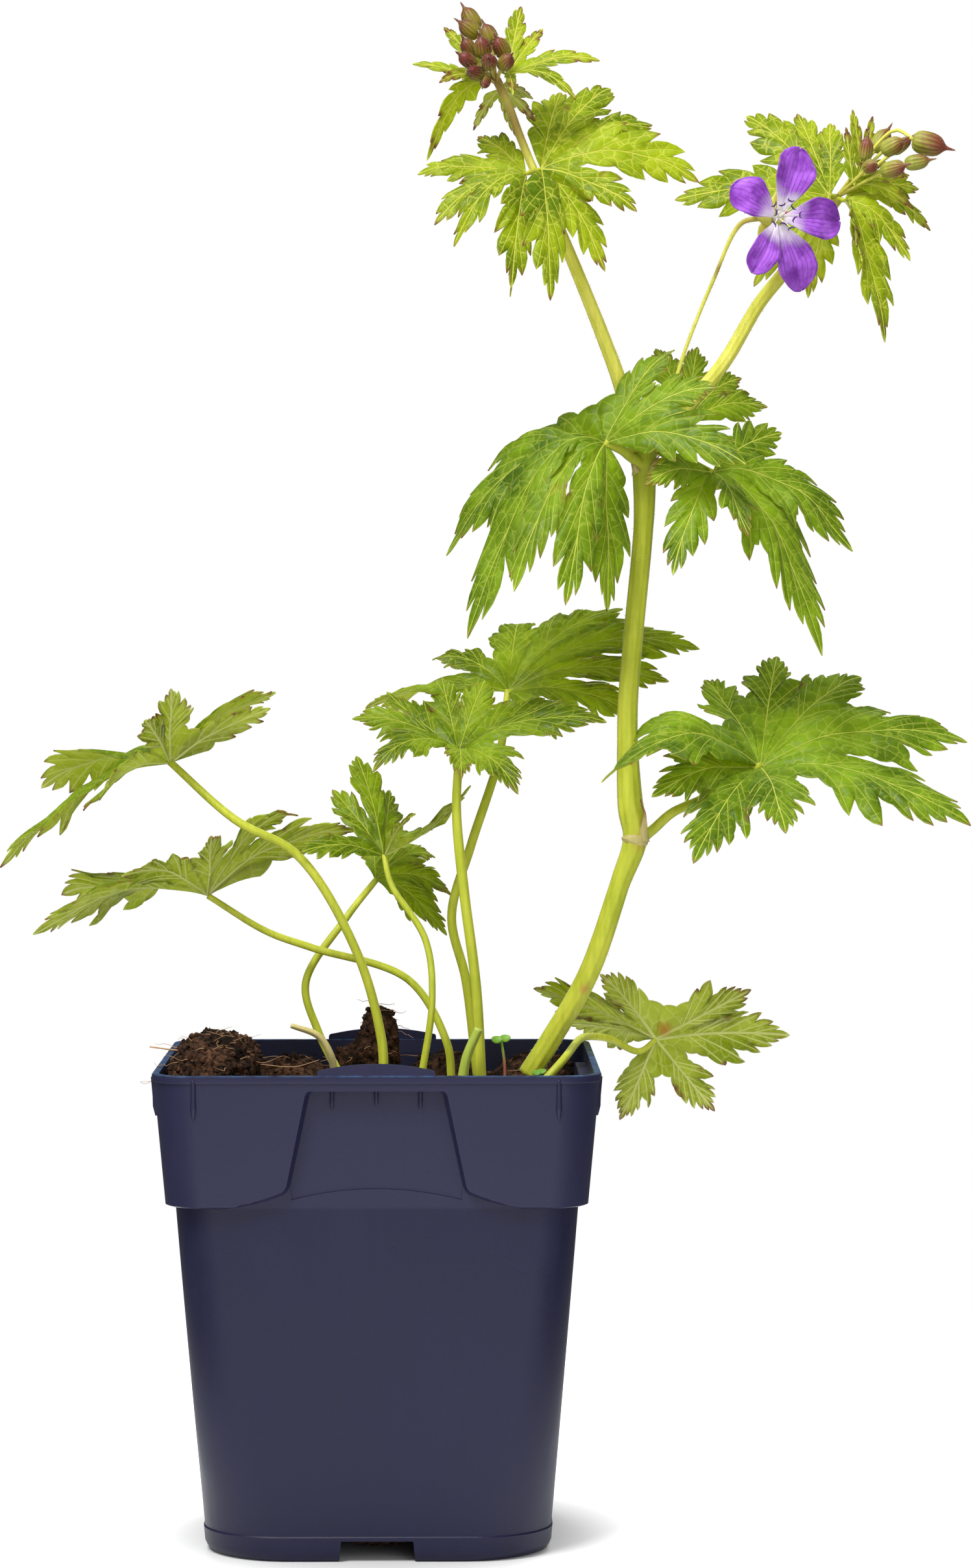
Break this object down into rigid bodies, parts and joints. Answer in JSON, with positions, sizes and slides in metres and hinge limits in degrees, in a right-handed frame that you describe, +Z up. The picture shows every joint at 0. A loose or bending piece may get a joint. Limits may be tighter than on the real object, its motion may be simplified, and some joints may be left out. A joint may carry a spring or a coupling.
{
  "type": "potted hardy geranium",
  "caption": "Hardy geranium with lobed leaves, a leaning stem, bud clusters and one open violet flower, growing in a square nursery pot filled with compost.",
  "frame": {"origin": "middle of the pot's underside, on the surface that the pot stands on", "axes": "+Z up, +X to the right with the leaning stem, -Y towards the front"},
  "size_m": [0.2018, 0.0962, 0.3174],
  "materials": {
    "pot_plastic": "injection-moulded dark navy plastic, fine matt grain, thin bluish shine on the edges",
    "compost": "dark brown peat compost with pale root fibres",
    "rootstock": "brown scaly crown",
    "stem": "yellow-green, ridged lengthwise, with a pale hairy edge",
    "leaf": "mid green, sunken pale net of veins, grey-green underneath, light shines through",
    "leaf_upper": "bright yellow-green with paler veins and red-brown tooth tips",
    "stipule": "thin papery pinkish brown",
    "petal": "satin violet with darker veins",
    "flower_centre": "cream column and filaments with dark purple anthers",
    "bud_red": "ribbed red-brown sepals with pale hairs",
    "bud_green": "ribbed green sepals veined red",
    "cut_stalk": "dry yellow-brown stump",
    "seedling": "smooth fresh green"
  },
  "bodies": {
    "root": {"pot": "pot_plastic", "potting_soil": "compost", "rootstock": "rootstock", "root_mat": "compost", "peat_clump": "compost", "main_stem": "stem", "left_branch": "stem", "right_branch": "stem", "flower_stalk": "stem", "basal_leaf_upper_left": "leaf", "basal_leaf_lower_left": "leaf", "basal_leaf_small_front": "leaf", "basal_leaf_small_back": "leaf", "basal_leaf_young": "leaf", "basal_leaf_tall_back": "leaf", "basal_leaf_low_right": "leaf", "stem_leaf_big_right": "leaf_upper", "stem_leaf_upper_left": "leaf_upper", "stem_leaf_upper_right": "leaf_upper", "stem_leaf_upper_back": "leaf_upper", "branch_leaf_left": "leaf_upper", "branch_leaf_right": "leaf_upper", "right_branch_leaf_left": "leaf_upper", "right_branch_leaf_right": "leaf_upper", "left_head_bract_left": "leaf_upper", "left_head_bract_right": "leaf_upper", "left_head_bract_back": "leaf_upper", "right_head_bract": "leaf_upper", "stipules_lower": "stipule", "stipules_upper": "stipule", "flower_petal_1": "petal", "flower_petal_2": "petal", "flower_petal_3": "petal", "flower_petal_4": "petal", "flower_petal_5": "petal", "flower_centre": "flower_centre", "left_head_bud_1": "bud_red", "left_head_bud_2": "bud_red", "left_head_bud_3": "bud_red", "left_head_bud_4": "bud_red", "left_head_bud_5": "bud_red", "left_head_bud_6": "bud_red", "left_head_bud_7": "bud_red", "left_head_bud_8": "bud_red", "left_head_bud_9": "bud_red", "left_head_bud_10": "bud_red", "left_head_bud_11": "bud_red", "right_head_bud_1": "bud_green", "right_head_bud_2": "bud_green", "right_head_bud_3": "bud_green", "right_head_bud_4": "bud_green", "right_head_bud_5": "bud_green", "right_head_bud_6": "bud_green", "right_head_bud_7": "bud_green", "right_head_bud_8": "bud_green", "cut_stalk_left": "cut_stalk", "cut_stalk_middle": "cut_stalk", "weed_seedling": "seedling"}
  },
  "joints": []
}
